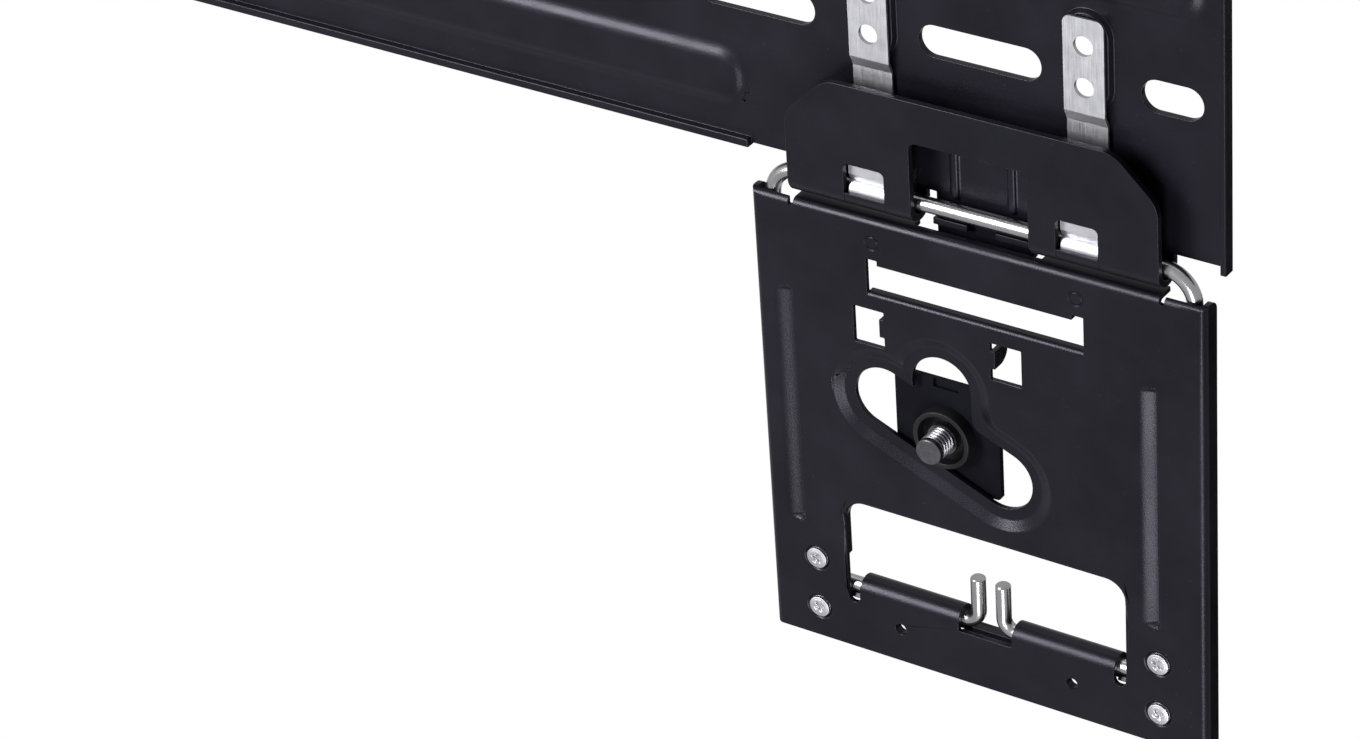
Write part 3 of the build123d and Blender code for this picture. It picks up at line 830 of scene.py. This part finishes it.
@dataclass
class HangingPlate:
    """A hanging plate: the stamping, its steep-walled grooves, its drawn rims and the ends of its rolls."""

    datum: Datum
    coat: bpy.types.Material
    sheet: float = 1.5 * MM
    close: float = 0.03 * MM
    seam: float = 0.005 * MM
    groove_x: tuple = (-58.7 * MM, 54.3 * MM)
    groove_low: float = -44.5 * MM
    groove_long: float = 76.5 * MM
    groove_half: float = 6.9 * MM
    groove_depth: float = 1.7 * MM
    groove_run: float = 5.2 * MM
    groove_wall: float = 0.9 * MM
    groove_end: float = 1.8 * MM
    groove_spare: float = 0.4 * MM
    slot_low: float = 37.4 * MM
    slot_half: float = 33.4 * MM
    window_half: float = 44.3 * MM
    window_low: float = -60.0 * MM
    window_high: float = -33.4 * MM
    rim_near: float = 0.1 * MM
    front_near: float = 0.02 * MM
    roll_depth: float = 3.99 * MM
    roll_up: float = -63.4 * MM
    rolls: tuple = (
        (-0.01 * MM, 8.45 * MM, BentStrip(3.3 * MM, 3.95 * MM, 132.0, 215.0)),
        (40.85 * MM, 46.5 * MM, BentStrip(2.5 * MM, 3.95 * MM, 98.0, 215.0)),
    )
    dish_half: float = 48.0 * MM
    dish_low: float = -38.0 * MM
    dish_high: float = 34.0 * MM
    corner_across: float = 66.0 * MM
    corner_up: float = 54.0 * MM
    edges: SheetEdges = field(default_factory=SheetEdges)

    def groove(self, across: np.ndarray, up: np.ndarray) -> np.ndarray:
        """The groove's depth about its own middle.

        Across, the sheet sinks from the shoulder as 2.2 t^2 - 1.2 t^3 of the way t to the valley, and
        comes back up a steep straight wall. The ends shrink it by a smooth step, 3 t^2 - 2 t^3.

        Args:
            across: Distance outwards from the valley.
            up: Height above the groove's low end.

        Returns:
            The depth at each point.
        """
        slope = np.clip(1.0 + across / self.groove_run, 0.0, 1.0)
        slope = slope * slope * (2.2 - 1.2 * slope)
        wall = np.clip(1.0 - across / self.groove_wall, 0.0, 1.0)
        end = np.clip(np.minimum(up, self.groove_long - up) / self.groove_end, 0.0, 1.0)
        end = end * end * (3.0 - 2.0 * end)
        return self.groove_depth * slope * wall * end

    def _middle(self, edge: bmesh.types.BMEdge) -> tuple[float, float, float]:
        """An edge's middle: its distance from the plate's middle, its depth and its height."""
        middle = (edge.verts[0].co + edge.verts[1].co) / 2
        across = abs(abs(middle.x) - self.datum.pitch / 2)
        return across, middle.y + self.datum.stand_off, middle.z + self.datum.drop

    def _is_corner(self, edge: bmesh.types.BMEdge) -> bool:
        """Says whether an edge is at a top corner, where the lip is notched."""
        across, _, up = self._middle(edge)
        return across > self.corner_across and up > self.corner_up

    def _is_dish(self, edge: bmesh.types.BMEdge) -> bool:
        """Says whether an edge belongs to the dish round the three-lobed slot."""
        across, _, up = self._middle(edge)
        return across < self.dish_half and self.dish_low < up < self.dish_high

    def _is_rim(self, edge: bmesh.types.BMEdge) -> bool:
        """Says whether an edge is the front of a drawn rim."""
        across, depth, up = self._middle(edge)
        near = self.rim_near
        below_slot = abs(up - self.slot_low) < near and across < self.slot_half + near
        beside_window = across < self.window_half + near and self.window_low < up < self.window_high + near
        return abs(depth) <= self.front_near and (below_slot or beside_window)

    def build(self) -> bpy.types.Object:
        """Makes the plate.

        Returns:
            The piece.
        """
        word = self.datum.side.word
        name = f"{word}_tv_plate"
        body = merged_copy(name, self.close)
        self._cut_grooves(body)
        self._add_rolls(body)
        self.edges.weigh(body, self._is_rim, self._is_dish, self._is_corner)
        piece = finish_piece(body, name, f"{word}_hanger", self.coat, SHEET_SHARP)
        self.edges.round(piece)
        return piece

    def _lines(self) -> tuple[np.ndarray, np.ndarray]:
        """Where the lines of a groove's grid run, closer together where the sheet bends.

        Returns:
            Distances outwards from the valley, and heights above the groove's low end.
        """
        bend = self.groove_end + self.groove_spare
        ends = np.linspace(-self.groove_spare, bend, 9)
        middle = np.linspace(bend, self.groove_long - bend, 9)[1:-1]
        up = np.concatenate([ends, middle, self.groove_long - ends[::-1]])
        slope = np.linspace(-self.groove_half, 0.0, 15)
        wall = np.linspace(0.0, self.groove_wall, 4)[1:]
        return np.concatenate([slope, wall, [self.groove_half]]), up

    def _cut_grooves(self, body: bmesh.types.BMesh) -> None:
        """Takes the sheet out where the grooves go, and sets them in, front and back."""
        across, up = self._lines()
        for valley in self.groove_x:
            for edge_at in (across[0], across[-1]):
                self._slice(body, (self.datum.x(valley + edge_at), 0.0, 0.0), (1.0, 0.0, 0.0))
        for edge_at in (up[0], up[-1]):
            self._slice(body, (0.0, 0.0, self.datum.z(self.groove_low + edge_at)), (0.0, 0.0, 1.0))
        for valley in self.groove_x:
            self._open(body, valley, across, up)
        sink = self.groove(across[None, :], up[:, None])
        for valley in self.groove_x:
            for depth, is_front in ((sink, True), (sink + self.sheet, False)):
                grid = self.datum.points(valley + across[None, :], depth, self.groove_low + up[:, None])
                add_grid(body, grid, out=is_front == (self.datum.side is Side.RIGHT))
        bmesh.ops.remove_doubles(body, verts=body.verts, dist=self.seam)
        bmesh.ops.recalc_face_normals(body, faces=body.faces)

    def _add_rolls(self, body: bmesh.types.BMesh) -> None:
        """Adds the sheet that closes the rolls behind the wire's prongs and at the rolls' far ends."""
        y = float(self.datum.y(self.roll_depth))
        z = float(self.datum.z(self.roll_up))
        for low, high, strip in self.rolls:
            for way in (-1.0, 1.0):
                x = (float(self.datum.x(way * low)), float(self.datum.x(way * high)))
                strip.add(body, x, y, z)

    def _slice(self, body: bmesh.types.BMesh, place: tuple, normal: tuple) -> None:
        """Cuts every face of the stamping along a plane."""
        geometry = body.verts[:] + body.edges[:] + body.faces[:]
        bmesh.ops.bisect_plane(body, geom=geometry, plane_co=place, plane_no=normal, dist=1e-7)

    def _open(self, body: bmesh.types.BMesh, valley: float, across: np.ndarray, up: np.ndarray) -> None:
        """Takes out the sheet where one groove goes."""
        gone = []
        for face in body.faces:
            middle = face.calc_center_median()
            beside = abs(middle.x) - self.datum.pitch / 2 - valley
            high = middle.z + self.datum.drop - self.groove_low
            if across[0] < beside < across[-1] and up[0] < high < up[-1]:
                gone.append(face)
        bmesh.ops.delete(body, geom=gone, context="FACES")


@dataclass
class ThreadedStud:
    """A stud: its plain back, a helical M8 thread and a plain blunt point."""

    datum: Datum
    coat: bpy.types.Material
    across: float = -12.0 * MM
    up: float = -4.0 * MM
    tip: float = -6.6 * MM
    root: float = 0.75 * MM
    plain: float = 1.5 * MM
    pitch: float = 1.25 * MM
    crest: float = 3.97 * MM
    depth: float = 0.67 * MM
    point_depth: float = 0.12
    fade_share: float = 0.4
    corner: float = 0.25 * MM
    overlap: float = 0.01 * MM
    cut_behind: float = 0.05 * MM
    turn_steps: int = 72
    rings: int = 84

    def build(self) -> bpy.types.Object:
        """Winds the thread and sets it on the stud's back.

        The radius falls from the crest by the depth times a clipped triangle wave of the helix's phase,
        which is the distance along less the turn's share of the pitch. Towards the plain point the wave
        fades to a small even depth, and at the very tip a chamfer takes the corner off.

        Returns:
            The piece.
        """
        word = self.datum.side.word
        body = merged_copy(f"{word}_stud")
        cut_at = self.root + self.cut_behind
        cut_front(body, self.datum.y(cut_at))
        along = np.linspace(0.0, cut_at + self.overlap - self.tip, self.rings)[:, None]
        turn = np.linspace(0.0, 2 * math.pi, self.turn_steps, endpoint=False)[None, :]
        phase = (along / self.pitch - turn / (2 * math.pi)) % 1.0
        wave = np.clip(np.abs(2.0 * phase - 1.0) * 1.5 - 0.25, 0.0, 1.0)
        fade = np.clip((along - self.plain) / (self.fade_share * self.pitch), 0.0, 1.0)
        radius = self.crest - self.depth * (wave * fade + self.point_depth * (1.0 - fade))
        radius = radius - np.clip(self.corner - along, 0.0, self.corner)
        grid = self.datum.points(
            self.across + radius * np.cos(turn), self.tip + along, self.up + radius * np.sin(turn)
        )
        add_grid(body, grid, closed=True)
        bmesh.ops.recalc_face_normals(body, faces=body.faces)
        return finish_piece(body, f"{word}_stud", f"{word}_slider", self.coat, THREAD_SHARP)


@dataclass
class PanScrews:
    """The two screws of one clip, their heads cut with a cross recess."""

    datum: Datum
    place: str
    across: float
    coat: bpy.types.Material
    heights: tuple = (-55.8 * MM, -72.4 * MM)
    turns: tuple = (0.5, 1.1)
    face: float = -0.55 * MM
    seat: float = 0.65 * MM
    radius: float = 3.15 * MM
    arm: float = 1.75 * MM
    arm_half: float = 0.42 * MM
    arm_edge: float = 0.16 * MM
    arm_run: float = 0.7 * MM
    recess: float = 0.75 * MM
    fall: float = 0.28 * MM
    ring_depth: float = 0.05 * MM
    ring_at: float = 0.8
    ring_width: float = 0.03
    hub: float = 0.004
    cut_before: float = 0.05 * MM
    turn_steps: int = 96
    rings: int = 30

    def build(self) -> bpy.types.Object:
        """Cuts the plain heads off and sets crossed ones in their place.

        A head's front is a polar grid: it falls off with the radius to the fourth power, with a faint
        pressed ring as a bell curve of the radius. Inside the cross, where the smaller of the two turned
        distances from the axis is under the arm's half width, it sinks by a steep wall to the recess,
        shallower towards the arms' ends.

        Returns:
            The piece.
        """
        word = self.datum.side.word
        name = f"{word}_{self.place}_screws"
        body = merged_copy(name)
        cut_front(body, self.datum.y(self.seat - self.cut_before))
        for height, start in zip(self.heights, self.turns):
            self._head(body, height, start)
        bmesh.ops.recalc_face_normals(body, faces=body.faces)
        return finish_piece(body, name, f"{word}_hanger", self.coat, HEAD_SHARP)

    def _head(self, body: bmesh.types.BMesh, height: float, start: float) -> None:
        """Adds one head.

        Args:
            body: Where it is added.
            height: The head's height above the datum.
            start: The turn of its cross, in radians.
        """
        share = np.linspace(self.hub, 1.0, self.rings)[:, None]
        turn = np.linspace(0.0, 2 * math.pi, self.turn_steps, endpoint=False)[None, :]
        reach = self.radius * share + 0.0 * turn
        first = np.abs(reach * np.cos(turn + start))
        second = np.abs(reach * np.sin(turn + start))
        beside = np.minimum(first, second)
        inside = np.clip((self.arm_half - beside) / self.arm_edge + 0.5, 0.0, 1.0)
        ends = np.clip((self.arm - reach) / self.arm_run, 0.0, 1.0)
        depth = self.face + self.fall * share**4 + self.recess * inside * ends
        ring = np.exp(-(((share - self.ring_at) / self.ring_width) ** 2)) * self.ring_depth
        across = self.across + reach * np.cos(turn)
        up = height + reach * np.sin(turn)
        front = self.datum.points(across, depth + ring, up)
        back = self.datum.points(across[-1:], self.seat, up[-1:])
        add_grid(body, np.concatenate([front, back]), closed=True)


@dataclass
class Bracket:
    """The whole bracket: the finish of each of its nodes, and its finer pieces."""

    coats: dict[str, bpy.types.Material]
    screws: tuple = (("inner", -54.5 * MM), ("outer", 54.5 * MM))

    def dress(self) -> None:
        """Gives every node the finish of its material slot, and the slider plates a darker, duller copy of
        the coat as painted shade for their recess.
        """
        slots = {s["node"]: s["material_slot"] for s in frame["record"]["subparts"]}
        for name, node in frame["nodes"].items():
            # Slider plates take a darker copy of the black coat: painted shade for their recess, not a
            # finish of their own.
            material = self.coats["slider_painted_shade_coat" if "slider_plate" in name else slots[name]]
            for index in range(len(node.material_slots)):
                node.material_slots[index].material = material
            log.info("dressed %s with %s", name, slots[name])

    def pieces(self) -> None:
        """Makes the stampings, studs and screws."""
        WallPlate(self.coats["black_coat"]).build()
        for side in Side:
            datum = Datum(side)
            HangingPlate(datum, self.coats["black_coat"]).build()
            ThreadedStud(datum, self.coats["dark_steel"]).build()
            for place, across in self.screws:
                PanScrews(datum, place, across, self.coats["bright_zinc"]).build()


def main() -> None:
    """Builds the camera, the studio and every piece."""
    logging.basicConfig(level=logging.INFO, format="%(name)s: %(message)s")
    PhotoCamera().make()
    view = bpy.context.scene.view_settings
    view.view_transform = "Standard"
    Studio().make()
    coats = {
        "black_coat": PowderCoat().build(),
        # Painted shade: the black coat made darker and less glossy for the recessed slider plates.
        "slider_painted_shade_coat": PowderCoat(
            "black_coat_painted_shade",
            dark=(0.002, 0.002, 0.003),
            light=(0.003, 0.003, 0.0045),
            gloss=0.42,
            specular=0.02,
        ).build(),
        "bright_zinc": Zinc().build(),
        "polished_wire": DrawnWire().build(),
        "black_nylon": Nylon().build(),
        "dark_steel": DarkSteel().build(),
    }
    bracket = Bracket(coats)
    bracket.dress()
    bracket.pieces()


if __name__ == "__main__":
    main()
